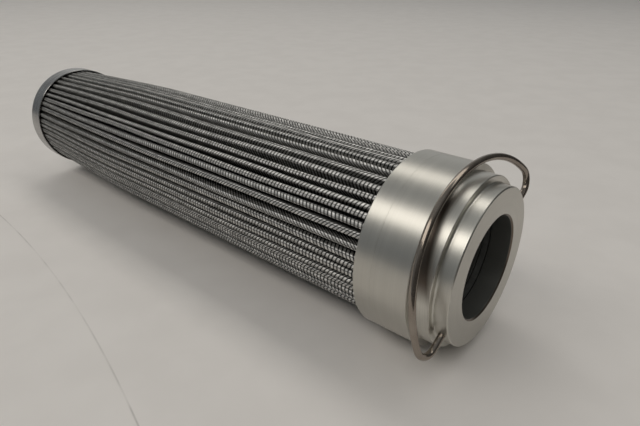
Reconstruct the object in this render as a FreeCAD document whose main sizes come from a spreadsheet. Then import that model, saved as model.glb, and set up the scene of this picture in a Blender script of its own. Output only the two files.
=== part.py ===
"""Pleated filter element for a high-pressure hydraulic housing, as a parametric document.

The element stands on its closed end, with +Z up towards the open end. The origin is the centre
of the closed end's outer face. The bail turns about an axis parallel to X near the top, and is
drawn folded down over the +Y side. All lengths are millimetres, all angles degrees.
"""
import FreeCAD, Part
import math
import os
import Sketcher

Vector = FreeCAD.Vector

doc = FreeCAD.newDocument("PleatedFilterElement")

# Driving sizes: alias, value, what it measures
SIZES = [
    ("overall_length", 327.0, "closed end face to open end face"),
    ("collar_radius", 39.0, "largest ring of the open end cap"),
    ("collar_length", 23.9, "collar's length along the axis"),
    ("seat_ring_radius", 36.1, "middle ring, where the folded bail lies"),
    ("seat_ring_length", 7.7, "middle ring's length along the axis"),
    ("end_ring_radius", 33.2, "front ring, which holds the bail"),
    ("end_ring_length", 6.1, "front ring's length along the axis"),
    ("ring_fillet", 0.8, "hollow corner at the foot of the front ring"),
    ("edge_chamfer", 0.4, "broken outer edges of the turned rings"),
    ("bore_radius", 21.7, "bore that slides over the housing's spigot"),
    ("bore_chamfer", 0.7, "lead-in at the mouth of the bore"),
    ("skirt_wall", 1.8, "collar wall around the pleats"),
    ("skirt_depth", 17.5, "how deep the pleats sit in the collar"),
    ("seal_thickness", 2.5, "bore seal, radial"),
    ("seal_half_height", 1.25, "bore seal, half its length along the axis"),
    ("seal_depth", 11.0, "middle of the seal below the open end face"),
    ("seal_slack", 0.45, "room beside the seal in its groove, each side"),
    ("seal_recess", 0.05, "seal's clearance to the bore line and to the groove's floor"),
    ("bail_wire_radius", 1.4, "half the wire's diameter"),
    ("bail_collar_gap", 0.35, "folded bail to the collar's broken edge"),
    ("bail_arc_radius", 47.4, "radius of the arch, wire centre"),
    ("bail_corner_radius", 6.3, "bend from the arch to the pins, wire centre"),
    ("pivot_depth", 3.2, "pivot axis below the open end face"),
    ("pin_clearance", 0.05, "pin to hole, radial"),
    ("pin_engagement", 4.2, "pin length inside the front ring"),
    ("pin_end_gap", 0.4, "hole's floor beyond the pin"),
    ("tube_setback", 0.6, "support tube's inside behind the bore line"),
    ("tube_wall", 0.9, "perforated support tube, wall"),
    ("tube_hole_radius", 3.5, "holes in the support tube, to their corners"),
    ("tube_hole_sides", 8, "straight sides that stand for each round hole"),
    ("tube_hole_rows", 8, "rings of holes along the tube"),
    ("tube_hole_columns", 4, "holes in each ring"),
    ("tube_hole_margin", 14.0, "tube end to the middle of the nearest hole"),
    ("pleat_count", 54, "folds round the pack"),
    ("crest_skirt_gap", 1.1, "pleats to the skirt, along the straight stretch"),
    ("crest_rim_gap", 0.8, "pleats to the closed end cap's rim, at their end"),
    ("taper_height", 92.0, "height where the pack starts to narrow"),
    ("crest_half_width", 1.15, "half a pleat's width at its crest"),
    ("crest_bevel", 0.4, "broken corners along each crest"),
    ("root_half_gap", 0.2, "half the gap between two pleats at their roots"),
    ("outer_mesh_thickness", 0.28, "woven wire cloth outside"),
    ("media_thickness", 0.42, "glass fibre layers"),
    ("inner_mesh_thickness", 0.28, "woven wire cloth inside"),
    ("pack_gap", 0.1, "pleat roots to the support tube"),
    ("adhesive_thickness", 1.5, "bonding bed at each end of the pack"),
    ("cap_radius", 34.2, "closed end cap, outside"),
    ("cap_wall", 0.8, "closed end cap's rim"),
    ("cap_height", 11.4, "closed end cap's rim above its face"),
    ("cap_base", 1.6, "closed end cap's disc"),
    ("cap_corner", 0.9, "rounded outer corner of the closed end cap"),
    ("bed_clearance", 0.05, "adhesive beds to the walls round them"),
]

# Sizes worked out from the driving ones
DERIVED = [
    ("collar_face", "=overall_length - end_ring_length - seat_ring_length"),
    ("collar_back", "=collar_face - collar_length"),
    ("channel_floor", "=collar_back + skirt_depth"),
    ("skirt_inner_radius", "=collar_radius - skirt_wall"),
    ("pivot_height", "=overall_length - pivot_depth"),
    ("pin_end", "=end_ring_radius - pin_engagement"),
    ("bail_standoff", "=(bail_wire_radius + bail_collar_gap) / sqrt(2)"),
    ("bail_out", "=collar_radius - edge_chamfer / 2 + bail_standoff"),
    ("pivot_over_collar", "=seat_ring_length + end_ring_length - pivot_depth"),
    ("bail_sink", "=pivot_over_collar + edge_chamfer / 2 - bail_standoff"),
    ("bail_fold_angle", "=180 / pi * atan(bail_sink / bail_out) / 1 rad"),
    ("bail_reach", "=sqrt(bail_out ^ 2 + bail_sink ^ 2)"),
    ("bail_drop", "=bail_arc_radius - bail_reach"),
    ("bail_rise", "=bail_corner_radius + bail_drop"),
    ("bail_side", "=sqrt((bail_arc_radius - bail_corner_radius) ^ 2 - bail_rise ^ 2)"),
    ("bail_lean", "=180 / pi * atan(bail_rise / bail_side) / 1 rad"),
    ("groove_radius", "=bore_radius + seal_thickness + 2 * seal_recess"),
    ("groove_half_width", "=seal_half_height + seal_slack"),
    ("seal_height", "=overall_length - seal_depth"),
    ("tube_inner_radius", "=bore_radius + tube_setback"),
    ("tube_outer_radius", "=tube_inner_radius + tube_wall"),
    ("cap_inner_radius", "=cap_radius - cap_wall"),
    ("crest_radius", "=skirt_inner_radius - crest_skirt_gap"),
    ("crest_end_radius", "=cap_inner_radius - crest_rim_gap"),
    ("pack_bottom", "=cap_base + adhesive_thickness"),
    ("pack_top", "=channel_floor - adhesive_thickness"),
]


def make_sheet():
    """Writes every size into the spreadsheet, one row each, with its alias."""
    sheet = doc.addObject("Spreadsheet::Sheet", "sizes")
    row = 1
    for alias, value, meaning in SIZES:
        sheet.set("A%d" % row, meaning)
        sheet.set("B%d" % row, str(value))
        sheet.setAlias("B%d" % row, alias)
        row += 1
    for alias, formula in DERIVED:
        sheet.set("A%d" % row, alias.replace("_", " "))
        sheet.set("B%d" % row, formula)
        sheet.setAlias("B%d" % row, alias)
        row += 1
    doc.recompute()
    return sheet


sizes = make_sheet()


def size(alias):
    """One number from the spreadsheet."""
    return float(sizes.get(alias))


def bound(expression):
    """Puts the sheet's name before each alias of an expression."""
    words = []
    for word in expression.split():
        is_alias = word.replace("_", "").isalpha()
        words.append("sizes." + word if is_alias else word)
    return " ".join(words)


def make_body(label):
    body = doc.addObject("PartDesign::Body", label)
    body.Label = label
    return body


def origin_feature(body, role):
    """Plane or axis of a body's own origin."""
    for feature in body.Origin.OriginFeatures:
        if feature.Role == role:
            return feature
    raise RuntimeError("no origin feature " + role)


def make_sketch(body, name, role):
    sketch = body.newObject("Sketcher::SketchObject", name)
    sketch.AttachmentSupport = [(origin_feature(body, role), "")]
    sketch.MapMode = "FlatFace"
    return sketch


def drive(sketch, constraint, expression):
    """Adds a dimension whose value comes from the sheet."""
    index = sketch.addConstraint(constraint)
    sketch.setExpression("Constraints[%d]" % index, bound(expression))


def place_point(sketch, geometry, point, across, up):
    """Holds one point of a sketch at two sheet expressions; 0 puts it on that axis."""
    if across == "0":
        sketch.addConstraint(Sketcher.Constraint("PointOnObject", geometry, point, -2))
    else:
        value = float(sketch.evalExpression(bound(across)))
        drive(sketch, Sketcher.Constraint("DistanceX", -1, 1, geometry, point, value), across)
    if up == "0":
        sketch.addConstraint(Sketcher.Constraint("PointOnObject", geometry, point, -1))
    else:
        value = float(sketch.evalExpression(bound(up)))
        drive(sketch, Sketcher.Constraint("DistanceY", -1, 1, geometry, point, value), up)


def number(sketch, expression):
    return 0.0 if expression == "0" else float(sketch.evalExpression(bound(expression)))


def draw_outline(sketch, corners):
    """Draws a closed outline of straight lines; each corner is two sheet expressions."""
    points = []
    for across, up in corners:
        points.append(Vector(number(sketch, across), number(sketch, up), 0))
    count = len(points)
    first = sketch.GeometryCount
    for n in range(count):
        sketch.addGeometry(Part.LineSegment(points[n], points[(n + 1) % count]), False)
    for n in range(count):
        after = first + (n + 1) % count
        sketch.addConstraint(Sketcher.Constraint("Coincident", first + n, 2, after, 1))
    for n, (across, up) in enumerate(corners):
        place_point(sketch, first + n, 1, across, up)


def draw_circle(sketch, across, up, radius):
    """Draws one circle from three sheet expressions."""
    centre = Vector(number(sketch, across), number(sketch, up), 0)
    value = number(sketch, radius)
    index = sketch.addGeometry(Part.Circle(centre, Vector(0, 0, 1), value), False)
    drive(sketch, Sketcher.Constraint("Radius", index, value), radius)
    place_point(sketch, index, 3, across, up)


def revolve(body, sketch, name):
    feature = body.newObject("PartDesign::Revolution", name)
    feature.Profile = sketch
    feature.ReferenceAxis = (sketch, ["V_Axis"])
    feature.Angle = 360
    return feature


def make_open_end_cap():
    """Turned aluminium cap: three stepped rings, spigot bore, seal groove and pleat channel."""
    body = make_body("open_end_cap")
    section = make_sketch(body, "cap_section", "XZ_Plane")
    top = "overall_length"
    ring_foot = "overall_length - end_ring_length"
    draw_outline(section, [
        ("bore_radius", "channel_floor"),
        ("skirt_inner_radius", "channel_floor"),
        ("skirt_inner_radius", "collar_back"),
        ("collar_radius", "collar_back"),
        ("collar_radius", "collar_face - edge_chamfer"),
        ("collar_radius - edge_chamfer", "collar_face"),
        ("seat_ring_radius", "collar_face"),
        ("seat_ring_radius", ring_foot + " - edge_chamfer"),
        ("seat_ring_radius - edge_chamfer", ring_foot),
        ("end_ring_radius + ring_fillet", ring_foot),
        ("end_ring_radius", ring_foot + " + ring_fillet"),
        ("end_ring_radius", top + " - edge_chamfer"),
        ("end_ring_radius - edge_chamfer", top),
        ("bore_radius + bore_chamfer", top),
        ("bore_radius", top + " - bore_chamfer"),
        ("bore_radius", "seal_height + groove_half_width"),
        ("groove_radius", "seal_height + groove_half_width"),
        ("groove_radius", "seal_height - groove_half_width"),
        ("bore_radius", "seal_height - groove_half_width"),
    ])
    revolve(body, section, "turned_cap")
    doc.recompute()
    hole = make_sketch(body, "pivot_hole_circle", "YZ_Plane")
    hole.setExpression("AttachmentOffset.Base.z", bound("pin_end - pin_end_gap"))
    draw_circle(hole, "0", "pivot_height", "bail_wire_radius + pin_clearance")
    drill = body.newObject("PartDesign::Pocket", "pivot_hole")
    drill.Profile = hole
    drill.Type = "Length"
    drill.setExpression("Length", bound("pin_engagement + pin_end_gap + end_ring_length"))
    drill.Reversed = True
    doc.recompute()
    both = body.newObject("PartDesign::PolarPattern", "pivot_holes")
    both.Originals = [drill]
    both.Axis = (origin_feature(body, "Z_Axis"), [""])
    both.Angle = 360
    both.Occurrences = 2
    body.Tip = both
    return body


def make_bore_seal():
    """Square-section ring in the bore's groove."""
    body = make_body("bore_seal")
    section = make_sketch(body, "seal_section", "XZ_Plane")
    inside = "bore_radius + seal_recess"
    outside = "groove_radius - seal_recess"
    low = "seal_height - seal_half_height"
    high = "seal_height + seal_half_height"
    draw_outline(section, [(inside, low), (outside, low), (outside, high), (inside, high)])
    revolve(body, section, "cut_ring")
    return body


def make_wire_bend(name, ring, sweep, turn, across, up):
    """One bend of the bail, as part of a torus in the upright bail's plane.

    ring and sweep are its radius and angle, turn is where it starts, counted from +X towards
    +Z, and across and up place its centre beside and above the pivot axis.
    """
    bend = doc.addObject("Part::Torus", name)
    upright = FreeCAD.Rotation(Vector(1, 0, 0), 90)
    bend.setExpression("Radius1", bound(ring))
    bend.setExpression("Radius2", bound("bail_wire_radius"))
    bend.setExpression("Angle3", bound(sweep))
    doc.recompute()
    start = FreeCAD.Rotation(Vector(0, -1, 0), float(bend.evalExpression(bound(turn))))
    bend.Placement = FreeCAD.Placement(Vector(0, 0, 0), start * upright)
    bend.setExpression("Placement.Base.x", bound(across))
    bend.setExpression("Placement.Base.z", bound(up))
    return bend


def make_wire_pin(name, side):
    """Straight end of the bail, from its corner bend into the front ring."""
    pin = doc.addObject("Part::Cylinder", name)
    along_x = FreeCAD.Rotation(Vector(0, 1, 0), 90 * side)
    pin.Placement = FreeCAD.Placement(Vector(0, 0, 0), along_x)
    pin.setExpression("Radius", bound("bail_wire_radius"))
    pin.setExpression("Height", bound("bail_side - pin_end"))
    pin.setExpression("Placement.Base.x", bound("pin_end * %d" % side))
    return pin


def make_bail_handle():
    """Spring wire bail: pin, corner, arch, corner, pin; drawn upright, then folded down."""
    arch_sweep = "180 - 2 * bail_lean"
    corner_sweep = "90 + bail_lean"
    wire = doc.addObject("Part::MultiFuse", "bail_handle")
    wire.Label = "bail_handle"
    wire.Shapes = [
        make_wire_pin("right_pin", 1),
        make_wire_bend("right_corner", "bail_corner_radius", corner_sweep,
                       "0 - 90", "bail_side", "bail_corner_radius"),
        make_wire_bend("bail_arch", "bail_arc_radius", arch_sweep,
                       "0 + bail_lean", "0", "0 - bail_drop"),
        make_wire_bend("left_corner", "bail_corner_radius", corner_sweep,
                       "180 - bail_lean", "0 - bail_side", "bail_corner_radius"),
        make_wire_pin("left_pin", -1),
    ]
    tilt = FreeCAD.Rotation(Vector(1, 0, 0), 1)
    wire.Placement = FreeCAD.Placement(Vector(0, 0, 0), tilt)
    wire.setExpression("Placement.Base.z", bound("pivot_height"))
    wire.setExpression("Placement.Rotation.Angle", bound("0 - 90 - bail_fold_angle"))
    return wire


def make_support_tube():
    """Perforated steel tube that carries the pleats against the pressure."""
    body = make_body("support_tube")
    ring = make_sketch(body, "tube_ring", "XY_Plane")
    ring.setExpression("AttachmentOffset.Base.z", bound("pack_bottom"))
    draw_circle(ring, "0", "0", "tube_outer_radius")
    draw_circle(ring, "0", "0", "tube_inner_radius")
    wall = body.newObject("PartDesign::Pad", "tube_wall_pad")
    wall.Profile = ring
    wall.setExpression("Length", bound("pack_top - pack_bottom"))
    doc.recompute()
    volume = wall.Shape.Volume
    rows = int(size("tube_hole_rows"))
    first = "pack_bottom + tube_hole_margin"
    stretch = "( pack_top - pack_bottom - 2 * tube_hole_margin )"
    for half, role in ((0, "XZ_Plane"), (1, "YZ_Plane")):
        holes = make_sketch(body, "tube_holes_%d" % half, role)
        for row in range(half, rows, 2):
            height = "%s + %s * %.6f" % (first, stretch, row / (rows - 1.0))
            draw_hole(holes, height)
        punch = body.newObject("PartDesign::Pocket", "tube_punch_%d" % half)
        punch.Profile = holes
        punch.Type = "ThroughAll"
        doc.recompute()
        spread = body.newObject("PartDesign::PolarPattern", "tube_punches_%d" % half)
        spread.Originals = [punch]
        spread.Axis = (origin_feature(body, "Z_Axis"), [""])
        spread.Angle = 360
        spread.Occurrences = int(size("tube_hole_columns"))
        body.Tip = spread
        doc.recompute()
        if spread.Shape.Volume >= volume:
            raise RuntimeError("the support tube has no holes")
        volume = spread.Shape.Volume
    return body


def draw_hole(sketch, height):
    """Draws one hole of the tube, centred on its axis at the given height."""
    sides = int(size("tube_hole_sides"))
    corners = []
    for n in range(sides):
        angle = 2 * math.pi * (n + 0.5) / sides
        across = "tube_hole_radius * %.6f" % math.cos(angle)
        up = "%s + tube_hole_radius * %.6f" % (height, math.sin(angle))
        corners.append((across, up))
    draw_outline(sketch, corners)


def fold_wire(depth, crest, height):
    """Closed folded wire of the pack at one height, as straight flanks, crests and roots.

    depth is how far the wire lies inside the pack's outer surface. Only the outer surface has
    its crests bevelled: deeper down the cloth is folded too tightly for that to show.
    """
    count = int(size("pleat_count"))
    layers = size("outer_mesh_thickness") + size("media_thickness") + size("inner_mesh_thickness")
    half = math.pi / count
    crest_width = size("crest_half_width")
    valley = size("tube_outer_radius") + size("pack_gap") + layers
    valley_width = valley * math.sin(half) - size("root_half_gap")
    slope = (valley_width - crest_width) / (size("crest_radius") - valley)

    def flank(radius):
        """Half the pleat's width at one radius."""
        return crest_width + slope * (size("crest_radius") - radius) - depth

    tip = crest - depth
    floor = valley - depth
    start = flank(0.0)
    foot_x = (floor - start * math.sin(half)) / (math.cos(half) - slope * math.sin(half))
    foot = Vector(foot_x, flank(foot_x), 0)
    bevel = size("crest_bevel") if depth == 0 else 0.0
    rise = [foot]
    if bevel > 0:
        rise.append(Vector(tip - bevel, flank(tip - bevel), 0))
    rise.append(Vector(tip, flank(tip) - bevel, 0))
    corners = [Vector(point.x, -point.y, 0) for point in rise] + rise[::-1]
    points = []
    for n in range(count):
        spin = FreeCAD.Rotation(Vector(0, 0, 1), math.degrees(2 * half) * n)
        for corner in corners:
            points.append(spin.multVec(corner) + Vector(0, 0, height))
    return Part.makePolygon(points + points[:1])


def make_pleated_layer(label, depth, thickness):
    """One folded sheet of the pack: straight down to the taper, then narrowing to the cap."""
    stations = [
        (size("crest_radius"), size("pack_top")),
        (size("crest_radius"), size("taper_height")),
        (size("crest_end_radius"), size("pack_bottom")),
    ]
    faces = []
    ends = []
    for level in (depth, depth + thickness):
        wires = [fold_wire(level, crest, height) for crest, height in stations]
        for upper, lower in zip(wires, wires[1:]):
            for top, bottom in zip(upper.Edges, lower.Edges):
                faces.append(flat_panel(top, bottom))
        ends.append((wires[0], wires[-1]))
    for end in (0, 1):
        pair = [ends[0][end], ends[1][end]]
        faces.extend(Part.makeFace(pair, "Part::FaceMakerBullseye").Faces)
    shell = Part.makeShell(faces)
    shell.sewShape()
    solid = Part.makeSolid(shell)
    if solid.Volume < 0:
        solid.reverse()
    sheet = doc.addObject("Part::Feature", label)
    sheet.Label = label
    sheet.Shape = solid
    return sheet


def flat_panel(top, bottom):
    """Plane face between two edges of neighbouring stations."""
    a, b = top.Vertexes[0].Point, top.Vertexes[1].Point
    c, d = bottom.Vertexes[1].Point, bottom.Vertexes[0].Point
    return Part.Face(Part.makePolygon([a, b, c, d, a]))


def make_pleat_pack():
    """Wire cloth, filter mat and wire cloth, folded together; each lies on the next."""
    outer = size("outer_mesh_thickness")
    media = size("media_thickness")
    return [
        make_pleated_layer("outer_wire_mesh", 0.0, outer),
        make_pleated_layer("filter_media", outer, media),
        make_pleated_layer("inner_wire_mesh", outer + media, size("inner_mesh_thickness")),
    ]


def make_adhesive_bed(label, bottom, outer_wall):
    """Flat bonding bed between the pack's end and a cap."""
    body = make_body(label)
    section = make_sketch(body, label + "_section", "XZ_Plane")
    draw_outline(section, [
        ("tube_inner_radius", bottom),
        (outer_wall + " - bed_clearance", bottom),
        (outer_wall + " - bed_clearance", bottom + " + adhesive_thickness"),
        ("tube_inner_radius", bottom + " + adhesive_thickness"),
    ])
    revolve(body, section, label + "_bed")
    return body


def make_closed_end_cap():
    """Pressed aluminium dish over the closed end, with a thin upright rim."""
    body = make_body("closed_end_cap")
    section = make_sketch(body, "dish_section", "XZ_Plane")
    draw_outline(section, [
        ("0", "0"),
        ("cap_radius - cap_corner", "0"),
        ("cap_radius", "cap_corner"),
        ("cap_radius", "cap_height"),
        ("cap_inner_radius", "cap_height"),
        ("cap_inner_radius", "cap_base"),
        ("0", "cap_base"),
    ])
    revolve(body, section, "pressed_dish")
    return body


def check_document():
    """Stops on any failed object."""
    for item in doc.Objects:
        if "Invalid" in item.State or "Error" in item.State:
            raise RuntimeError("failed object: " + item.Label)


parts = [
    make_open_end_cap(),
    make_bore_seal(),
    make_bail_handle(),
    make_support_tube(),
    make_closed_end_cap(),
    make_adhesive_bed("open_end_adhesive", "pack_top", "skirt_inner_radius"),
    make_adhesive_bed("closed_end_adhesive", "cap_base", "cap_inner_radius"),
]
parts.extend(make_pleat_pack())

doc.recompute()
check_document()

os.makedirs("parts", exist_ok=True)
for piece in parts:
    if piece.Shape.isNull() or not piece.Shape.isValid():
        raise RuntimeError("bad shape: " + piece.Label)
    if len(piece.Shape.Solids) != 1:
        raise RuntimeError("not one solid: " + piece.Label)
for piece in parts:
    piece.Shape.exportStep("parts/" + piece.Label + ".step")
    print(piece.Label, round(piece.Shape.Volume, 1), len(piece.Shape.Faces))
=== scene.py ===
"""Looks of the pleated filter element: camera, studio, detailed pieces and materials.

The element stands on its closed end, +Z up to the open end. In the photograph it lies on a
table, so the table here is an upright plane that touches the collar, and the camera is rolled.
Sizes are in millimetres unless a comment says otherwise, and MM turns them into metres.
"""
import math

import bpy
import numpy as np
from mathutils import Matrix, Vector


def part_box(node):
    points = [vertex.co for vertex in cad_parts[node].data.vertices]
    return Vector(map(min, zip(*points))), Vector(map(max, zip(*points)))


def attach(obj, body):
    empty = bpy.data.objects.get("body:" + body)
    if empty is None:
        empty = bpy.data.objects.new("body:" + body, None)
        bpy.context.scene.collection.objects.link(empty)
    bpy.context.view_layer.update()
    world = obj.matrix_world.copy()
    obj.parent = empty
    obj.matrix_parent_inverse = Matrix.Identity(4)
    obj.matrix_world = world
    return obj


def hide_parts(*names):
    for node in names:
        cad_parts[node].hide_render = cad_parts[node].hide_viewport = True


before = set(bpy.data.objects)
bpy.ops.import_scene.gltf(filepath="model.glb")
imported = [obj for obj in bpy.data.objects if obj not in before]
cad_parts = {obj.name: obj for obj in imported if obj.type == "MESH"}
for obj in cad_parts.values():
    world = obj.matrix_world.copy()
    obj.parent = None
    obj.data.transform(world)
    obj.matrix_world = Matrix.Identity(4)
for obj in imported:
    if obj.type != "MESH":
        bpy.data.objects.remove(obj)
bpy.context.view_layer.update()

MM = 0.001

# Sizes read from the frame, in millimetres
pack_low, pack_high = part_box("outer_wire_mesh")
cap_low, cap_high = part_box("open_end_cap")
dish_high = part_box("closed_end_cap")[1]
tube_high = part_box("support_tube")[1]
PACK_BOTTOM = pack_low.z / MM
PACK_TOP = pack_high.z / MM
CREST_RADIUS = pack_high.x / MM
COLLAR_RADIUS = cap_high.x / MM
COLLAR_BACK = cap_low.z / MM
LENGTH = cap_high.z / MM
RIM_RADIUS = dish_high.x / MM
RIM_HEIGHT = dish_high.z / MM
TUBE_OUTSIDE = tube_high.x / MM

# Sizes of the turned open end cap
SEAT_RING_RADIUS = 36.1
SEAT_RING_LENGTH = 7.7
END_RING_RADIUS = 33.2
END_RING_LENGTH = 6.1
BORE_RADIUS = 21.7
BORE_CHAMFER = 0.7
EDGE_CHAMFER = 0.4
SKIRT_WALL = 1.8
SKIRT_DEPTH = 17.5
GROOVE_RADIUS = 24.3
GROOVE_TOP = LENGTH - 9.3
GROOVE_FLOOR = LENGTH - 12.7
SCRIBE_FROM_BACK = 8.0
SCRIBE_DEPTH = 0.06
SCRIBE_HALF_WIDTH = 0.05

# Turned pieces: steps round the axis and round an edge, and how far the points that hold a straight
# run flat stand from its roundings
LATHE_SIDES = 288
ROUNDING_STEPS = 5
HOLD = 0.04

# Edges that turn by more than this are shaded sharp, on the metal pieces and on the wire
SHARP = math.radians(40)
WIRE_SHARP = math.radians(50)

# Sizes of the bail and its pivot holes
WIRE_RADIUS = 1.4
PIVOT_HEIGHT = LENGTH - 3.2
PIN_END = 29.0
BAIL_OUT = 40.037
BAIL_SINK = 9.563
BAIL_ARC_RADIUS = 47.4
BAIL_CORNER_RADIUS = 6.3
BAIL_REACH = math.hypot(BAIL_OUT, BAIL_SINK)
BAIL_FOLD = math.atan2(BAIL_SINK, BAIL_OUT)
BAIL_SIDES = 28
BAIL_PIN_STEPS = 8
BAIL_CORNER_STEPS = 24
BAIL_ARCH_STEPS = 80
PIVOT_HOLE_RADIUS = 1.45
PIVOT_HOLE_SIDES = 32
PIN_CLEARANCE = 0.4
DRILL_OVERRUN = 4.0

# The painted shadow and reflection of the folded bail on the seat ring: where it is full and where
# it ends over the folded bail, how much steeper than the bail it leans, the turn of its middle from
# the top towards the camera, and the cosines of the angle from there at which it ends and is full
BAIL_SHADE_START = 1.2
BAIL_SHADE_REACH = 3.4
BAIL_SHADE_LEAN = 1.16
BAIL_SHADE_TURN = math.radians(55)
BAIL_SHADE_END = 0.78
BAIL_SHADE_FULL = 0.93

# Sizes of the pleats
PLEATS = 54
PLEAT_ROWS = 56
TAPER_HEIGHT = 104.0
TAPER_SWELL = 1.35
CREST_END_RADIUS = 32.6
CREST_HALF_WIDTH = 1.15
CREST_CAP_HEIGHT = 0.8
CREST_SQUARENESS = 2.8
ROOT_HALF_GAP = 0.2
ROOT_HEIGHT = 0.25
CLOTH = 0.28
MEDIA = 0.42
PACK_GAP = 0.1
LAYERS = 2 * CLOTH + MEDIA
ROOT_RADIUS = TUBE_OUTSIDE + PACK_GAP + LAYERS
WIRE_PITCH = 1.87

# How uneven the pleats are: slow waves of the crest's radius and of its lean with their longest
# lengths, what each pleat differs by, and the lean that neighbours share, as waves round the pack
# with how many there are, their strength and their phase
CREST_WAVE = 0.16
CREST_WAVE_LENGTH = 210.0
CREST_DROP = 0.22
LEAN_WAVE = 0.45
LEAN_WAVE_LENGTH = 260.0
LEAN_EACH = 0.3
LEAN_ROUND = ((3, 0.55, 1.0), (7, 0.4, 2.2))
WEAVE_SLANT = 1.3
NARROWEST = -0.2
WIDEST = 0.25

# Sizes of the closed end cap and of the tube
RIM_WALL = 0.8
DISH_BASE = 1.6
TUBE_WALL = 0.9
HOLE_ROWS = 33
HOLE_COLUMNS = 16
HOLE_RADIUS = 2.6

# The table's frame: its normal, the element's axis, and across towards the far side
TABLE_UP = Vector((0.5054, 0.8629, 0.0)).normalized()
AXIS = Vector((0.0, 0.0, 1.0))
ACROSS = TABLE_UP.cross(AXIS)

# Edges of the table in metres: along the axis, and across from the camera's side
TABLE_FRONT = 0.52
TABLE_BACK = -8.0
TABLE_NEAR = -0.5
TABLE_FAR = 8.0

# The table's scratch: centre across the table, radius and half width
SCRATCH_MIDDLE = -1035.0
SCRATCH_RADIUS = 953.0
SCRATCH_HALF_WIDTH = 0.6

# Camera, fitted to the photograph's outlines: its place, its own axes and its lens
CAMERA_PLACE = Vector((-92.24, 183.12, 386.24))
CAMERA_RIGHT = Vector((0.55885, -0.32746, 0.76188))
CAMERA_UP = Vector((0.74990, 0.59180, -0.29569))
CAMERA_BACK = Vector((-0.35405, 0.73659, 0.57628))
CAMERA_LENS = 28.905
CAMERA_SENSOR = 36.0

# Height on the element's axis that the lamps are aimed at, and the turn of the backdrop's middle
# from straight across towards the closed end
LAMP_AIM = 1.3 * LENGTH
BACKDROP_TURN = math.radians(50)

# Places of the colour sockets on Blender's mix node
MIX_A = 6
MIX_B = 7
MIX_RESULT = 2


# Materials

class Shader:
    """Short names for building one material's nodes."""

    def __init__(self, name):
        self.material = bpy.data.materials.new(name)
        self.material.use_nodes = True
        self.tree = self.material.node_tree
        self.tree.nodes.clear()
        self.out = self.add("ShaderNodeOutputMaterial")

    def add(self, kind, **settings):
        """Adds a node and sets its properties."""
        node = self.tree.nodes.new(kind)
        for key, value in settings.items():
            setattr(node, key, value)
        return node

    def link(self, source, target):
        self.tree.links.new(source, target)

    def put(self, socket, value):
        """Sets a socket to a number or colour, or links another socket to it."""
        if isinstance(value, bpy.types.NodeSocket):
            self.link(value, socket)
        elif isinstance(value, (tuple, list)) and len(value) == 3 and socket.type == "RGBA":
            socket.default_value = (*value, 1.0)
        else:
            socket.default_value = value

    def math(self, operation, a, b=0.0):
        """One step of arithmetic on numbers or sockets."""
        node = self.add("ShaderNodeMath", operation=operation)
        self.put(node.inputs[0], a)
        self.put(node.inputs[1], b)
        return node.outputs[0]

    def mix(self, factor, a, b):
        """Mixes two colours."""
        node = self.add("ShaderNodeMix", data_type="RGBA")
        self.put(node.inputs[0], factor)
        self.put(node.inputs[MIX_A], a)
        self.put(node.inputs[MIX_B], b)
        return node.outputs[MIX_RESULT]

    def ramp(self, value, low, high, to_low=0.0, to_high=1.0):
        """Takes a value from one range to another, smoothly and clamped."""
        node = self.add("ShaderNodeMapRange", interpolation_type="SMOOTHSTEP")
        self.put(node.inputs[0], value)
        for socket, number in zip(node.inputs[1:5], (low, high, to_low, to_high)):
            socket.default_value = number
        return node.outputs[0]

    def place(self):
        """The point in the row frame, in metres, whole and as x, y and z."""
        coords = self.add("ShaderNodeTexCoord")
        parts = self.add("ShaderNodeSeparateXYZ")
        self.link(coords.outputs["Object"], parts.inputs[0])
        return coords.outputs["Object"], parts.outputs

    def distance(self, a, b):
        """Distance of a point from where two lengths at right angles to each other are nought."""
        squares = self.math("ADD", self.math("MULTIPLY", a, a), self.math("MULTIPLY", b, b))
        return self.math("SQRT", squares)

    def radius(self, parts):
        """Distance from the element's axis, in metres."""
        return self.distance(parts[0], parts[1])

    def along(self, parts, direction):
        """How far a point lies along a direction square to the element's axis, in metres."""
        return self.math("ADD", self.math("MULTIPLY", parts[0], direction.x),
                         self.math("MULTIPLY", parts[1], direction.y))

    def own_map(self, name):
        """The two numbers that a mesh's own map gives."""
        parts = self.add("ShaderNodeSeparateXYZ")
        self.link(self.add("ShaderNodeUVMap", uv_map=name).outputs[0], parts.inputs[0])
        return parts.outputs[0], parts.outputs[1]

    def joined(self, x=0.0, y=0.0, z=0.0):
        """A vector of three numbers or sockets."""
        node = self.add("ShaderNodeCombineXYZ")
        for socket, value in zip(node.inputs, (x, y, z)):
            self.put(socket, value)
        return node.outputs[0]

    def noise(self, vector, scale, detail=2.0, roughness=0.5):
        """Smooth noise, mostly between 0.3 and 0.7."""
        node = self.add("ShaderNodeTexNoise")
        self.put(node.inputs["Vector"], vector)
        node.inputs["Scale"].default_value = scale
        node.inputs["Detail"].default_value = detail
        node.inputs["Roughness"].default_value = roughness
        return node.outputs["Fac"]

    def mottle(self, noise, a, b):
        """Goes between two colours with smooth noise."""
        return self.mix(self.ramp(noise, 0.3, 0.7), a, b)

    def bump(self, height, strength, distance):
        """The normal that a height gives; the distance is in metres."""
        node = self.add("ShaderNodeBump")
        node.inputs["Strength"].default_value = strength
        node.inputs["Distance"].default_value = distance
        self.put(node.inputs["Height"], height)
        return node.outputs[0]

    def surface(self, **values):
        """Adds the surface shader; keys are its socket names with spaces as underscores."""
        shader = self.add("ShaderNodeBsdfPrincipled")
        for key, value in values.items():
            self.put(shader.inputs[key.replace("_", " ")], value)
        self.link(shader.outputs[0], self.out.inputs["Surface"])
        return shader


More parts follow.
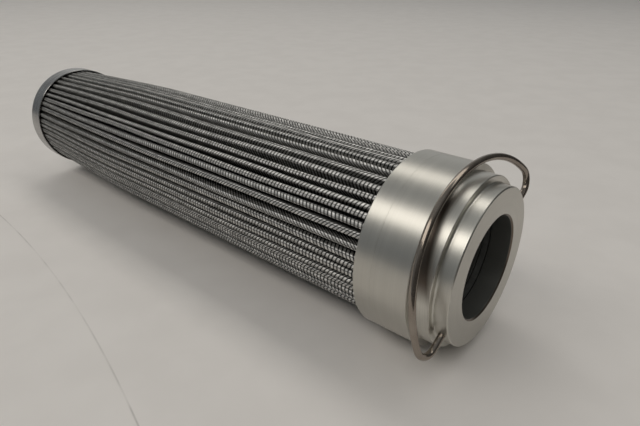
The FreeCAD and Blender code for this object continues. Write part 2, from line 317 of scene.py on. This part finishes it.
def turned_aluminium():
    """Satin turned metal: rings of fine tool marks round the element's axis, painted shade in the bore
    and its groove, a painted dark brown reflection on the bore's edge, a brighter tone on the two
    rings, and a painted brown shadow and reflection of the folded bail on the seat ring."""
    s = Shader("turned aluminium")
    place, parts = s.place()
    radius = s.radius(parts)
    rings = s.joined(radius, 0.0, parts[2])
    fine = s.noise(rings, 5200.0, 3.0, 0.6)
    broad = s.noise(rings, 420.0, 2.0)
    cloud = s.noise(place, 55.0, 3.0)
    marks = s.math("ADD", s.math("MULTIPLY", fine, 0.75), s.math("MULTIPLY", broad, 0.25))
    tone = s.mottle(marks, (0.52, 0.505, 0.46), (0.585, 0.57, 0.525))
    tone = s.mix(s.ramp(cloud, 0.35, 0.75, 0.0, 0.25), tone, (0.45, 0.44, 0.415))
    # Parts of the cap by their radius and height, faded over a few tenths of a millimetre
    # The bore's chamfer is painted dark brown: a painted dark reflection on the edge
    painted_bore_edge = s.ramp(radius, (BORE_RADIUS + BORE_CHAMFER + 0.05) * MM,
                     (BORE_RADIUS + BORE_CHAMFER - 0.1) * MM)
    # The bore and its seal groove are painted near black and made less metallic: painted shade in the
    # recess
    painted_bore_shade = s.ramp(radius, (BORE_RADIUS + 0.2) * MM, (BORE_RADIUS + 0.05) * MM)
    painted_groove_shade = s.math("MULTIPLY", s.ramp(radius, (GROOVE_RADIUS + 0.4) * MM, (GROOVE_RADIUS + 0.2) * MM),
                       s.ramp(parts[2], (GROOVE_TOP + 1.2) * MM, (GROOVE_TOP + 0.6) * MM))
    painted_bore_shade = s.math("MAXIMUM", painted_bore_shade, painted_groove_shade)
    on_seat = s.ramp(radius, (SEAT_RING_RADIUS + 1.4) * MM, (SEAT_RING_RADIUS + 0.4) * MM)
    off_face = s.ramp(radius, (END_RING_RADIUS - 0.35) * MM, (END_RING_RADIUS - 0.15) * MM)
    on_rings = s.math("MULTIPLY", on_seat, off_face)
    # The seat and end rings get a brighter copy of the metal's tone, which brightens their highlights
    ring_tone = s.mottle(marks, (0.58, 0.565, 0.515), (0.65, 0.635, 0.585))
    tone = s.mix(on_rings, tone, ring_tone)
    tone = s.mix(painted_bore_edge, tone, (0.16, 0.13, 0.105))
    tone = s.mix(painted_bore_shade, tone, (0.115, 0.118, 0.11))
    # Height over the plane of the folded bail, which leans down towards +Y
    sink = s.math("MULTIPLY", parts[1], BAIL_SHADE_LEAN * BAIL_SINK / BAIL_OUT)
    over_bail = s.math("ADD", parts[2], sink)
    beside = s.ramp(over_bail, (PIVOT_HEIGHT + BAIL_SHADE_REACH) * MM, (PIVOT_HEIGHT + BAIL_SHADE_START) * MM)
    bail_shade_middle = TABLE_UP * math.cos(BAIL_SHADE_TURN) - ACROSS * math.sin(BAIL_SHADE_TURN)
    facing = s.math("DIVIDE", s.along(parts, bail_shade_middle), radius)
    bail_shade_spread = s.ramp(facing, BAIL_SHADE_END, BAIL_SHADE_FULL)
    # Painted shadow and reflection of the folded bail: a dark brown band on the seat ring beside the
    # bail, on the camera's side of the ring
    painted_bail_shade = s.math("MULTIPLY", s.math("MULTIPLY", beside, bail_shade_spread), on_seat)
    tone = s.mix(painted_bail_shade, tone, (0.11, 0.09, 0.074))
    rough = s.ramp(marks, 0.2, 0.8, 0.29, 0.36)
    s.surface(
        Base_Color=tone, Metallic=s.ramp(painted_bore_shade, 0.0, 1.0, 0.95, 0.3), Roughness=rough,
        Anisotropic=0.25, Anisotropic_Rotation=0.25,
        Tangent=s.add("ShaderNodeTangent", direction_type="RADIAL", axis="Z").outputs[0],
        Normal=s.bump(marks, 0.12, 0.00004),
    )
    return s.material


def cap_aluminium():
    """Plain pressed sheet, darker than the turned cap, with faint lines and handling marks."""
    s = Shader("cap aluminium")
    place, parts = s.place()
    rings = s.joined(s.radius(parts), 0.0, parts[2])
    draw = s.noise(rings, 2600.0, 2.0)
    cloud = s.noise(place, 90.0, 4.0)
    tone = s.mottle(cloud, (0.34, 0.335, 0.33), (0.43, 0.425, 0.415))
    s.surface(
        Base_Color=tone, Metallic=1.0, Roughness=s.ramp(draw, 0.3, 0.7, 0.2, 0.3),
        Normal=s.bump(draw, 0.15, 0.00005),
    )
    return s.material


def bail_steel():
    """Glossy drawn stainless wire, a little brown, with faint lines along it."""
    s = Shader("bail steel")
    around, along = s.own_map("along")
    stretched = s.joined(s.math("MULTIPLY", around, 40.0), s.math("MULTIPLY", along, 0.8))
    lines = s.noise(stretched, 1.0, 3.0, 0.6)
    place, _ = s.place()
    cloud = s.noise(place, 120.0, 3.0)
    tone = s.mottle(cloud, (0.26, 0.222, 0.188), (0.33, 0.29, 0.25))
    s.surface(
        Base_Color=tone, Metallic=0.84, Roughness=s.ramp(lines, 0.3, 0.7, 0.1, 0.18),
        Normal=s.bump(lines, 0.12, 0.00003),
    )
    return s.material


def wire_cloth():
    """Plain weave of dull stainless wire, with painted shade in the openings between the wires; the
    cloth's own map counts in millimetres.
    """
    s = Shader("wire cloth")
    across, along = s.own_map("cloth")
    place, _ = s.place()
    sway = s.math("MULTIPLY", s.math("SUBTRACT", s.noise(place, 45.0, 1.0), 0.5), 0.7)
    across = s.math("DIVIDE", across, WIRE_PITCH)
    along = s.math("ADD", s.math("DIVIDE", along, WIRE_PITCH), sway)
    # The broad wires lie across the crest and the thin ones along it
    weft = s.math("ABSOLUTE", s.math("SINE", s.math("MULTIPLY", along, math.pi)))
    warp = s.math("ABSOLUTE", s.math("SINE", s.math("MULTIPLY", across, math.pi)))
    height = s.math("MULTIPLY", s.math("POWER", weft, 0.4), s.ramp(warp, 0.0, 0.5, 0.6, 1.0))
    wire_vs_gap_shade = s.math("MULTIPLY", s.ramp(weft, 0.28, 0.76), s.ramp(warp, 0.08, 0.5, 0.25, 1.0))
    cell = s.add("ShaderNodeTexWhiteNoise", noise_dimensions="2D")
    s.link(s.joined(s.math("FLOOR", across), s.math("FLOOR", along)), cell.inputs["Vector"])
    metal = s.mix(cell.outputs["Value"], (0.53, 0.525, 0.505), (0.84, 0.83, 0.805))
    # The openings between the wires are painted near black: painted shade of the media seen through them
    tone = s.mix(wire_vs_gap_shade, (0.038, 0.038, 0.039), metal)
    s.surface(
        Base_Color=tone, Metallic=0.9, Roughness=0.49, Specular_Tint=(0.05, 0.05, 0.05),
        Normal=s.bump(height, 0.4, 0.0003),
    )
    return s.material


def glass_fibre():
    """Matte white mat of short fibres."""
    s = Shader("glass fibre")
    place, _ = s.place()
    fibres = s.noise(place, 2400.0, 5.0, 0.7)
    tone = s.mottle(fibres, (0.72, 0.70, 0.66), (0.86, 0.85, 0.82))
    s.surface(Base_Color=tone, Roughness=0.95, Normal=s.bump(fibres, 0.4, 0.00008))
    return s.material


def tube_steel():
    """Galvanised sheet with a soft spangle."""
    s = Shader("tube steel")
    place, _ = s.place()
    spangle = s.add("ShaderNodeTexVoronoi")
    s.link(place, spangle.inputs["Vector"])
    spangle.inputs["Scale"].default_value = 300.0
    grain = spangle.outputs["Distance"]
    tone = s.mix(s.ramp(grain, 0.1, 0.7), (0.36, 0.36, 0.36), (0.50, 0.50, 0.49))
    s.surface(
        Base_Color=tone, Metallic=1.0, Roughness=s.ramp(grain, 0.0, 0.8, 0.34, 0.5),
        Normal=s.bump(grain, 0.1, 0.00004),
    )
    return s.material


def seal_rubber():
    """Dark grey rubber with a faint bloom."""
    s = Shader("seal rubber")
    place, _ = s.place()
    bloom = s.noise(place, 260.0, 4.0)
    tone = s.mix(s.ramp(bloom, 0.35, 0.8), (0.08, 0.082, 0.078), (0.13, 0.133, 0.127))
    s.surface(
        Base_Color=tone, Roughness=s.ramp(bloom, 0.3, 0.7, 0.42, 0.6),
        Normal=s.bump(bloom, 0.2, 0.00005),
    )
    return s.material


def cured_adhesive():
    """Dark grey potting compound with a slightly wavy surface."""
    s = Shader("cured adhesive")
    place, _ = s.place()
    waves = s.noise(place, 110.0, 3.0)
    tone = s.mottle(waves, (0.06, 0.057, 0.052), (0.10, 0.096, 0.088))
    s.surface(
        Base_Color=tone, Roughness=s.ramp(waves, 0.3, 0.7, 0.3, 0.5),
        Normal=s.bump(waves, 0.4, 0.0004),
    )
    return s.material


# Mesh helpers

def make_object(name, points, faces, uv_name=None, uvs=None):
    """Mesh object from points in millimetres; uvs holds one pair for each point."""
    mesh = bpy.data.meshes.new(name)
    mesh.from_pydata((np.asarray(points, float) * MM).tolist(), [], faces)
    if uvs is not None:
        layer = mesh.uv_layers.new(name=uv_name)
        corner = np.empty(len(mesh.loops), np.int32)
        mesh.loops.foreach_get("vertex_index", corner)
        layer.data.foreach_set("uv", np.asarray(uvs, np.float32)[corner].ravel())
    mesh.shade_smooth()
    obj = bpy.data.objects.new(name, mesh)
    bpy.context.scene.collection.objects.link(obj)
    return obj


def band_faces(rows, columns, first=0, flip=False):
    """Four-sided faces between rows of points that each run once round and close."""
    faces = []
    for i in range(rows - 1):
        for j in range(columns):
            a = first + i * columns + j
            b = first + i * columns + (j + 1) % columns
            faces.append((a, a + columns, b + columns, b) if flip else (a, b, b + columns, a + columns))
    return faces


def round_corners(corners):
    """Outline whose corners are (radius, height, rounding). A point a little before and after
    each rounding keeps the shading of the straight runs flat."""
    outline = []
    count = len(corners)
    for n, (r, z, rounding) in enumerate(corners):
        here = Vector((r, z))
        if rounding <= 0:
            outline.append(here)
            continue
        before = (Vector(corners[n - 1][:2]) - here).normalized()
        after = (Vector(corners[(n + 1) % count][:2]) - here).normalized()
        half = before.angle(after) / 2
        reach = rounding / math.tan(half)
        outline.append(here + before * (reach + HOLD))
        centre = here + (before + after).normalized() * (rounding / math.sin(half))
        start = here + before * reach - centre
        turn = start.angle_signed(here + after * reach - centre)
        for step in range(ROUNDING_STEPS + 1):
            angle = -turn * step / ROUNDING_STEPS
            outline.append(centre + Matrix.Rotation(angle, 2) @ start)
        outline.append(here + after * (reach + HOLD))
    return outline


def lathe(name, corners):
    """Turns a closed outline round the element's axis; corners on the axis become one point."""
    points = []
    rings = []
    for radius, height in round_corners(corners):
        first = len(points)
        if radius == 0:
            points.append((0.0, 0.0, height))
            rings.append([first] * LATHE_SIDES)
            continue
        for n in range(LATHE_SIDES):
            angle = 2 * math.pi * n / LATHE_SIDES
            points.append((radius * math.cos(angle), radius * math.sin(angle), height))
        rings.append(list(range(first, first + LATHE_SIDES)))
    faces = []
    for here, there in zip(rings, rings[1:] + rings[:1]):
        for n in range(LATHE_SIDES):
            m = (n + 1) % LATHE_SIDES
            face = tuple(dict.fromkeys((here[n], here[m], there[m], there[n])))
            if len(face) > 2:
                faces.append(face)
    obj = make_object(name, points, faces)
    obj.data.set_sharp_from_angle(angle=SHARP)
    return obj


def apply_modifiers(obj):
    """Keeps the shape that the modifiers give and removes them."""
    evaluated = obj.evaluated_get(bpy.context.evaluated_depsgraph_get())
    mesh = bpy.data.meshes.new_from_object(evaluated)
    obj.modifiers.clear()
    obj.data = mesh


def finish_piece(obj, body, material, node):
    """Gives a piece its material and body, and hides the node that it stands for."""
    obj.data.materials.clear()
    obj.data.materials.append(material)
    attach(obj, body)
    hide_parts(node)


def dress_node(name, material):
    """Puts a material on a carried-over node."""
    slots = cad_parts[name].data.materials
    slots.clear()
    slots.append(material)


# Pieces

def make_open_end_cap(material):
    """Stepped turned cap with broken edges, a scribe line, seal groove and pivot holes."""
    collar_face = LENGTH - END_RING_LENGTH - SEAT_RING_LENGTH
    ring_foot = LENGTH - END_RING_LENGTH
    channel_floor = COLLAR_BACK + SKIRT_DEPTH
    skirt_inside = COLLAR_RADIUS - SKIRT_WALL
    scribe = COLLAR_BACK + SCRIBE_FROM_BACK
    cap = lathe("open_end_cap_turned", [
        (BORE_RADIUS, channel_floor, 0.2),
        (skirt_inside, channel_floor, 0.4),
        (skirt_inside, COLLAR_BACK, 0.25),
        (COLLAR_RADIUS, COLLAR_BACK, 0.35),
        (COLLAR_RADIUS, scribe - SCRIBE_HALF_WIDTH, 0),
        (COLLAR_RADIUS - SCRIBE_DEPTH, scribe, 0),
        (COLLAR_RADIUS, scribe + SCRIBE_HALF_WIDTH, 0),
        (COLLAR_RADIUS, collar_face, 0.4),
        (SEAT_RING_RADIUS, collar_face, 0.25),
        (SEAT_RING_RADIUS, ring_foot, 0.4),
        (END_RING_RADIUS, ring_foot, 0.8),
        (END_RING_RADIUS, LENGTH - EDGE_CHAMFER, 0.05),
        (END_RING_RADIUS - EDGE_CHAMFER, LENGTH, 0.05),
        (BORE_RADIUS + BORE_CHAMFER, LENGTH, 0.12),
        (BORE_RADIUS, LENGTH - BORE_CHAMFER, 0.12),
        (BORE_RADIUS, GROOVE_TOP, 0.1),
        (GROOVE_RADIUS, GROOVE_TOP, 0.1),
        (GROOVE_RADIUS, GROOVE_FLOOR, 0.1),
        (BORE_RADIUS, GROOVE_FLOOR, 0.1),
    ])
    drill = make_drill()
    cut = cap.modifiers.new("holes", "BOOLEAN")
    cut.operation = "DIFFERENCE"
    cut.solver = "EXACT"
    cut.object = drill
    bpy.context.view_layer.update()
    apply_modifiers(cap)
    bpy.data.objects.remove(drill)
    cap.data.set_sharp_from_angle(angle=SHARP)
    finish_piece(cap, "element", material, "open_end_cap")


def make_drill():
    """The two pivot holes as one solid each, from behind the pin's end out through the front ring."""
    sides = PIVOT_HOLE_SIDES
    points = []
    faces = []
    for side in (-1, 1):
        first = len(points)
        for x in (PIN_END - PIN_CLEARANCE, END_RING_RADIUS + DRILL_OVERRUN):
            for n in range(sides):
                angle = 2 * math.pi * n / sides
                points.append((side * x, PIVOT_HOLE_RADIUS * math.cos(angle),
                               PIVOT_HEIGHT + PIVOT_HOLE_RADIUS * math.sin(angle)))
        faces += band_faces(2, sides, first, flip=side < 0)
        ends = [list(range(first, first + sides)), list(range(first + sides, first + 2 * sides))]
        ends[0 if side > 0 else 1].reverse()
        faces += [tuple(end) for end in ends]
    return make_object("pivot_drill", points, faces)


def bail_line():
    """Centre of the bail's wire when it stands upright: pin, corner, arch, corner, pin."""
    drop = BAIL_ARC_RADIUS - BAIL_REACH
    rise = BAIL_CORNER_RADIUS + drop
    side = math.sqrt((BAIL_ARC_RADIUS - BAIL_CORNER_RADIUS) ** 2 - rise ** 2)
    lean = math.atan2(rise, side)
    line = [(x, 0.0, 0.0) for x in np.linspace(PIN_END, side, BAIL_PIN_STEPS)[:-1]]
    for angle in np.linspace(-math.pi / 2, lean, BAIL_CORNER_STEPS):
        line.append((side + BAIL_CORNER_RADIUS * math.cos(angle), 0.0,
                     BAIL_CORNER_RADIUS * (1 + math.sin(angle))))
    for angle in np.linspace(lean, math.pi / 2, BAIL_ARCH_STEPS)[1:]:
        line.append((BAIL_ARC_RADIUS * math.cos(angle), 0.0,
                     BAIL_ARC_RADIUS * math.sin(angle) - drop))
    line = np.array(line)
    return np.vstack([line, (line * (-1, 1, 1))[-2::-1]])


def make_bail(material):
    """Bent wire, swept along its centre line and folded down over the seat ring."""
    line = bail_line()
    sides = BAIL_SIDES
    runs = np.gradient(line, axis=0)
    runs /= np.linalg.norm(runs, axis=1)[:, None]
    thick = np.array((0.0, 1.0, 0.0))
    length = np.concatenate([[0], np.cumsum(np.linalg.norm(np.diff(line, axis=0), axis=1))])
    points = []
    uvs = []
    for centre, run, distance in zip(line, runs, length):
        beside = np.cross(thick, run)
        for n in range(sides):
            angle = 2 * math.pi * n / sides
            offset = beside * math.cos(angle) + thick * math.sin(angle)
            points.append(centre + WIRE_RADIUS * offset)
            uvs.append((n / sides, distance))
    faces = band_faces(len(line), sides, flip=True)
    faces.append(tuple(range(sides)))
    faces.append(tuple(reversed(range(len(points) - sides, len(points)))))
    fold = Matrix.Rotation(-math.pi / 2 - BAIL_FOLD, 3, "X")
    points = [fold @ Vector(point) + Vector((0, 0, PIVOT_HEIGHT)) for point in points]
    bail = make_object("bail_wire", points, faces, "along", uvs)
    bail.data.set_sharp_from_angle(angle=WIRE_SHARP)
    finish_piece(bail, "bail", material, "bail_handle")


def smooth_wave(rng, heights, longest, spread):
    """Slow random waves along the height, one row for each pleat, from about -spread to spread:
    three sines, each shorter and weaker than the one before, whose strengths add up to 2.1."""
    waves = np.zeros((PLEATS, len(heights)))
    for octave in range(3):
        length = longest / (1.7 ** octave)
        phase = rng.uniform(0, 2 * math.pi, (PLEATS, 1))
        stretch = rng.uniform(0.8, 1.25, (PLEATS, 1))
        waves += np.sin(2 * math.pi * heights / (length * stretch) + phase) / (1.5 ** octave)
    return spread * waves / 2.1


def pleat_shape():
    """The heights of the rows, each pleat's radius and sideways lean at its crest there, the slant
    of its weave, and what it adds to its half width."""
    rng = np.random.default_rng(54)
    heights = np.linspace(PACK_BOTTOM, PACK_TOP, PLEAT_ROWS)
    taper = np.clip((TAPER_HEIGHT - heights) / (TAPER_HEIGHT - PACK_BOTTOM), 0, 1)
    radius = CREST_RADIUS - (CREST_RADIUS - CREST_END_RADIUS) * taper ** TAPER_SWELL
    crest = radius + smooth_wave(rng, heights, CREST_WAVE_LENGTH, CREST_WAVE)
    crest += rng.uniform(-CREST_DROP, 0.0, (PLEATS, 1))
    lean = smooth_wave(rng, heights, LEAN_WAVE_LENGTH, LEAN_WAVE)
    lean += rng.uniform(-LEAN_EACH, LEAN_EACH, (PLEATS, 1))
    turn = 2 * math.pi * np.arange(PLEATS)[:, None] / PLEATS
    for waves, strength, phase in LEAN_ROUND:
        lean += strength * np.sin(waves * turn + phase)
    slant = rng.uniform(-WEAVE_SLANT, WEAVE_SLANT, PLEATS)
    widen = rng.uniform(NARROWEST, WIDEST, PLEATS)
    return heights, np.minimum(crest, radius), lean, slant, widen


def pleat_sheet(shape, depth, crest_steps, flank_steps):
    """One face of a folded sheet, at a depth under the pack's outside, as a grid of points, heights
    by points round the pack."""
    heights, crest, lean, _, widen = shape
    half = math.pi / PLEATS
    root_width = ROOT_RADIUS * math.sin(half) - ROOT_HALF_GAP
    slope = (root_width - CREST_HALF_WIDTH) / (CREST_RADIUS - ROOT_RADIUS)
    root = ROOT_RADIUS - depth
    flank_start = root + ROOT_HEIGHT
    level = np.ones_like(heights)
    columns = []
    for pleat in range(PLEATS):
        top = crest[pleat] - depth
        half_width = CREST_HALF_WIDTH + widen[pleat] - depth
        cap = min(CREST_CAP_HEIGHT, half_width)
        # Half of the fold, up its flank and round its squared crest
        side = []
        for n in range(flank_steps):
            radial = flank_start + (top - cap - flank_start) * n / flank_steps
            side.append((radial, half_width + slope * (CREST_RADIUS - radial)))
        for n in range(crest_steps):
            angle = math.pi / 2 * n / crest_steps
            rise = math.sin(angle) ** (2 / CREST_SQUARENESS)
            narrow = math.cos(angle) ** (2 / CREST_SQUARENESS)
            side.append((top - cap * (1 - rise), half_width * narrow * level))
        profile = [(radial, -width) for radial, width in side]
        profile.append((top, 0 * level))
        profile += [(radial, width) for radial, width in reversed(side)]
        middle = 2 * half * pleat
        columns.append((root * math.cos(middle - half) * level,
                        root * math.sin(middle - half) * level))
        for radial, width in profile:
            share = (radial - root) / (top - root)
            sideways = width + lean[pleat] * share
            columns.append((radial * math.cos(middle) - sideways * math.sin(middle),
                            radial * math.sin(middle) + sideways * math.cos(middle)))
    x, y = np.array(columns).transpose(1, 2, 0)
    z = np.repeat(heights[:, None], x.shape[1], axis=1)
    return np.stack([x, y, z], axis=2)


def make_folded_cloth(name, shape, depth, thickness, detail, material, node):
    """Closed folded sheet between two depths of the pack, with its map in millimetres."""
    outer = pleat_sheet(shape, depth, *detail)
    inner = pleat_sheet(shape, depth + thickness, *detail)
    rows, columns = outer.shape[:2]
    points = np.vstack([outer.reshape(-1, 3), inner.reshape(-1, 3)])
    steps = np.linalg.norm(np.diff(outer[rows // 2], axis=0), axis=1)
    across = np.concatenate([[0], np.cumsum(steps)])
    # The weave climbs across each pleat by the pleat's own slant
    slants = np.repeat(shape[3], columns // PLEATS)
    skew = np.concatenate([[0], np.cumsum(steps * slants[1:])])
    uv = np.stack([np.tile(across, rows), (outer[..., 2] + skew).ravel()], axis=1)
    second = rows * columns
    faces = band_faces(rows, columns)
    faces += band_faces(rows, columns, second, flip=True)
    last = (rows - 1) * columns
    for j in range(columns):
        k = (j + 1) % columns
        faces.append((j, second + j, second + k, k))
        faces.append((last + k, last + second + k, last + second + j, last + j))
    cloth = make_object(name, points, faces, "cloth", np.vstack([uv, uv]))
    finish_piece(cloth, "element", material, node)


def make_closed_end_cap(material):
    """Pressed dish with a rounded edge and a thin rounded lip."""
    dish = lathe("closed_end_dish", [
        (0, 0.0, 0),
        (RIM_RADIUS, 0.0, 0.9),
        (RIM_RADIUS, RIM_HEIGHT, 0.36),
        (RIM_RADIUS - RIM_WALL, RIM_HEIGHT, 0.36),
        (RIM_RADIUS - RIM_WALL, DISH_BASE, 0.4),
        (0, DISH_BASE, 0),
    ])
    finish_piece(dish, "element", material, "closed_end_cap")


def make_support_tube(material):
    """Tube with round holes all over, in staggered rows."""
    # One cell's border in quarters of the cell, anticlockwise from the middle of its right side
    border = ((2, 0), (2, 1), (2, 2), (1, 2), (0, 2), (-1, 2), (-2, 2), (-2, 1),
              (-2, 0), (-2, -1), (-2, -2), (-1, -2), (0, -2), (1, -2), (2, -2), (2, -1))
    sides = len(border)
    around = 4 * HOLE_COLUMNS
    turn_step = 2 * math.pi / around
    height_step = (PACK_TOP - PACK_BOTTOM) / (4 * HOLE_ROWS)
    points = []
    faces = []
    shared = {}

    def add_point(radius, turn, height):
        points.append((radius * math.cos(turn), radius * math.sin(turn), height))
        return len(points) - 1

    def border_point(radius, column, row):
        key = (radius, column % around, row)
        if key not in shared:
            shared[key] = add_point(radius, key[1] * turn_step, PACK_BOTTOM + row * height_step)
        return shared[key]

    walls = (TUBE_OUTSIDE, TUBE_OUTSIDE - TUBE_WALL)
    for row in range(HOLE_ROWS):
        for column in range(HOLE_COLUMNS):
            middle = 4 * column + 2 * (row % 2)
            level = 4 * row + 2
            edges = []
            rims = []
            for radius in walls:
                edges.append([border_point(radius, middle + h, level + v) for h, v in border])
                rim = []
                for n in range(sides):
                    angle = 2 * math.pi * n / sides
                    turn = middle * turn_step + HOLE_RADIUS * math.cos(angle) / TUBE_OUTSIDE
                    height = PACK_BOTTOM + level * height_step + HOLE_RADIUS * math.sin(angle)
                    rim.append(add_point(radius, turn, height))
                rims.append(rim)
            for n in range(sides):
                m = (n + 1) % sides
                faces.append((rims[0][n], edges[0][n], edges[0][m], rims[0][m]))
                faces.append((rims[1][m], edges[1][m], edges[1][n], rims[1][n]))
                faces.append((rims[1][n], rims[0][n], rims[0][m], rims[1][m]))
    for column in range(around):
        for row, first in ((0, column + 1), (4 * HOLE_ROWS, column)):
            second = 2 * column + 1 - first
            faces.append((border_point(walls[0], first, row), border_point(walls[0], second, row),
                          border_point(walls[1], second, row), border_point(walls[1], first, row)))
    tube = make_object("support_tube_perforated", points, faces)
    tube.data.set_sharp_from_angle(angle=SHARP)
    finish_piece(tube, "element", material, "support_tube")


# Studio

def make_camera():
    """Camera at the photograph's viewing angle."""
    data = bpy.data.cameras.new("camera")
    data.lens = CAMERA_LENS
    data.sensor_width = CAMERA_SENSOR
    data.sensor_fit = "HORIZONTAL"
    data.clip_start = 0.01
    data.clip_end = 50.0
    camera = bpy.data.objects.new("camera", data)
    pose = Matrix((CAMERA_RIGHT, CAMERA_UP, CAMERA_BACK)).transposed()
    camera.matrix_world = Matrix.Translation(CAMERA_PLACE * MM) @ pose.to_4x4()
    bpy.context.scene.collection.objects.link(camera)
    bpy.context.scene.camera = camera


def make_table():
    """Pale table top that touches the collar; it is seen from its upper side only."""
    touch = TABLE_UP * (-COLLAR_RADIUS * MM)
    corners = [touch + AXIS * along + ACROSS * across
               for along, across in ((TABLE_FRONT, TABLE_NEAR), (TABLE_FRONT, TABLE_FAR),
                                     (TABLE_BACK, TABLE_FAR), (TABLE_BACK, TABLE_NEAR))]
    mesh = bpy.data.meshes.new("table")
    mesh.from_pydata([tuple(corner) for corner in corners], [], [(0, 1, 2, 3)])
    if mesh.polygons[0].normal.dot(TABLE_UP) < 0:
        mesh.flip_normals()
    table = bpy.data.objects.new("table", mesh)
    bpy.context.scene.collection.objects.link(table)
    s = Shader("table top")
    place, parts = s.place()
    grain = s.noise(place, 35.0, 3.0)
    tone = s.mottle(grain, (0.815, 0.785, 0.755), (0.845, 0.815, 0.785))
    # One long faint scratch, part of a wide arc on the camera's side
    offset = s.math("SUBTRACT", s.along(parts, ACROSS), SCRATCH_MIDDLE * MM)
    beside = s.math("SUBTRACT", s.distance(offset, parts[2]), SCRATCH_RADIUS * MM)
    beside = s.math("ABSOLUTE", beside)
    scratch = s.math("MULTIPLY", s.ramp(beside, SCRATCH_HALF_WIDTH * MM, 0.0),
                     s.ramp(s.noise(place, 60.0, 2.0), 0.3, 0.7, 0.1, 0.6))
    tone = s.mix(scratch, tone, (0.42, 0.40, 0.38))
    shader = s.surface(Base_Color=tone, Roughness=0.75)
    clear = s.add("ShaderNodeBsdfTransparent")
    sides = s.add("ShaderNodeMixShader")
    s.link(s.add("ShaderNodeNewGeometry").outputs["Backfacing"], sides.inputs[0])
    s.link(shader.outputs[0], sides.inputs[1])
    s.link(clear.outputs[0], sides.inputs[2])
    s.link(sides.outputs[0], s.out.inputs["Surface"])
    mesh.materials.append(s.material)


def make_world():
    """Studio room, dark on the open end's side, with a pale backdrop beyond the closed end."""
    world = bpy.data.worlds.new("studio")
    bpy.context.scene.world = world
    world.use_nodes = True
    tree = world.node_tree
    tree.nodes.clear()
    coords = tree.nodes.new("ShaderNodeTexCoord")

    def along(direction):
        """How far a ray points in a direction, from -1 to 1."""
        dot = tree.nodes.new("ShaderNodeVectorMath")
        dot.operation = "DOT_PRODUCT"
        dot.inputs[1].default_value = direction
        tree.links.new(coords.outputs["Generated"], dot.inputs[0])
        return dot.outputs["Value"]

    def ramp(value, stops):
        """Colour of a value, from stops at places from -1 to 1."""
        shift = tree.nodes.new("ShaderNodeMapRange")
        shift.inputs[1].default_value = -1.0
        tree.links.new(value, shift.inputs[0])
        node = tree.nodes.new("ShaderNodeValToRGB")
        node.color_ramp.interpolation = "EASE"
        steps = node.color_ramp.elements
        while len(steps) < len(stops):
            steps.new(0.5)
        for step, (position, colour) in zip(steps, stops):
            step.position = (position + 1) / 2
            step.color = (*colour, 1.0)
        tree.links.new(shift.outputs[0], node.inputs[0])
        return node.outputs[0]

    def blend(factor, a, b):
        """Mixes two colours."""
        mix = tree.nodes.new("ShaderNodeMix")
        mix.data_type = "RGBA"
        for place, source in ((0, factor), (MIX_A, a), (MIX_B, b)):
            tree.links.new(source, mix.inputs[place])
        return mix.outputs[MIX_RESULT]

    black = (0.0, 0.0, 0.0)
    white = (1.0, 1.0, 1.0)
    overhead = (0.24, 0.25, 0.254)
    height = along(TABLE_UP)
    front = ramp(height, [
        (0.0, (0.032, 0.032, 0.031)),
        (0.3, (0.038, 0.039, 0.038)),
        (0.65, (0.10, 0.104, 0.106)),
        (1.0, overhead),
    ])
    back = ramp(height, [
        (0.0, (0.155, 0.166, 0.174)),
        (0.4, (0.195, 0.206, 0.213)),
        (0.75, (0.235, 0.245, 0.25)),
        (1.0, overhead),
    ])
    backdrop = ramp(height, [
        (-0.10, (0.46, 0.46, 0.45)),
        (0.15, (0.46, 0.46, 0.45)),
        (0.5, (0.40, 0.405, 0.40)),
        (1.0, overhead),
    ])
    room = blend(ramp(along(-AXIS), [(-0.15, black), (0.3, white)]), front, back)
    behind = ACROSS * math.cos(BACKDROP_TURN) - AXIS * math.sin(BACKDROP_TURN)
    far = ramp(along(behind), [(0.55, black), (0.88, white)])
    sky = blend(far, room, backdrop)
    background = tree.nodes.new("ShaderNodeBackground")
    tree.links.new(sky, background.inputs["Color"])
    out = tree.nodes.new("ShaderNodeOutputWorld")
    tree.links.new(background.outputs[0], out.inputs["Surface"])


def add_lamp(name, elevation, azimuth, distance, width, length, power, colour):
    """Soft box aimed at the element, its length along it. Degrees over the table and round from
    the open end's side give its direction; its distance and size are in metres."""
    rise = math.radians(elevation)
    turn = math.radians(azimuth)
    level = AXIS * math.cos(turn) + ACROSS * math.sin(turn)
    direction = level * math.cos(rise) + TABLE_UP * math.sin(rise)
    data = bpy.data.lights.new(name, "AREA")
    data.shape = "RECTANGLE"
    data.size = width
    data.size_y = length
    data.energy = power
    data.color = colour
    lamp = bpy.data.objects.new(name, data)
    target = AXIS * (LAMP_AIM * MM)
    side = AXIS.cross(direction).normalized()
    pose = Matrix((side, direction.cross(side), direction)).transposed()
    lamp.matrix_world = Matrix.Translation(target + direction * distance) @ pose.to_4x4()
    bpy.context.scene.collection.objects.link(lamp)


def make_studio():
    """Camera, table, room and a soft box on each side, under the plain view transform."""
    bpy.context.scene.view_settings.view_transform = "Standard"
    make_camera()
    make_table()
    make_world()
    warm = (1.0, 0.955, 0.89)
    add_lamp("near strip", 53, -101, 2.0, 0.7, 3.2, 15.0, warm)
    add_lamp("far strip", 64, 108, 2.0, 0.6, 4.4, 12.6, warm)


cloth = wire_cloth()
aluminium = turned_aluminium()
adhesive = cured_adhesive()
shape = pleat_shape()

make_studio()
make_open_end_cap(aluminium)
make_bail(bail_steel())
make_closed_end_cap(cap_aluminium())
make_support_tube(tube_steel())
make_folded_cloth("outer_cloth", shape, 0.0, CLOTH, (4, 3), cloth, "outer_wire_mesh")
make_folded_cloth("fibre_mat", shape, CLOTH, MEDIA, (1, 1), glass_fibre(),
                  "filter_media")
make_folded_cloth("inner_cloth", shape, CLOTH + MEDIA, CLOTH, (1, 1), cloth,
                  "inner_wire_mesh")
dress_node("bore_seal", seal_rubber())
dress_node("open_end_adhesive", adhesive)
dress_node("closed_end_adhesive", adhesive)
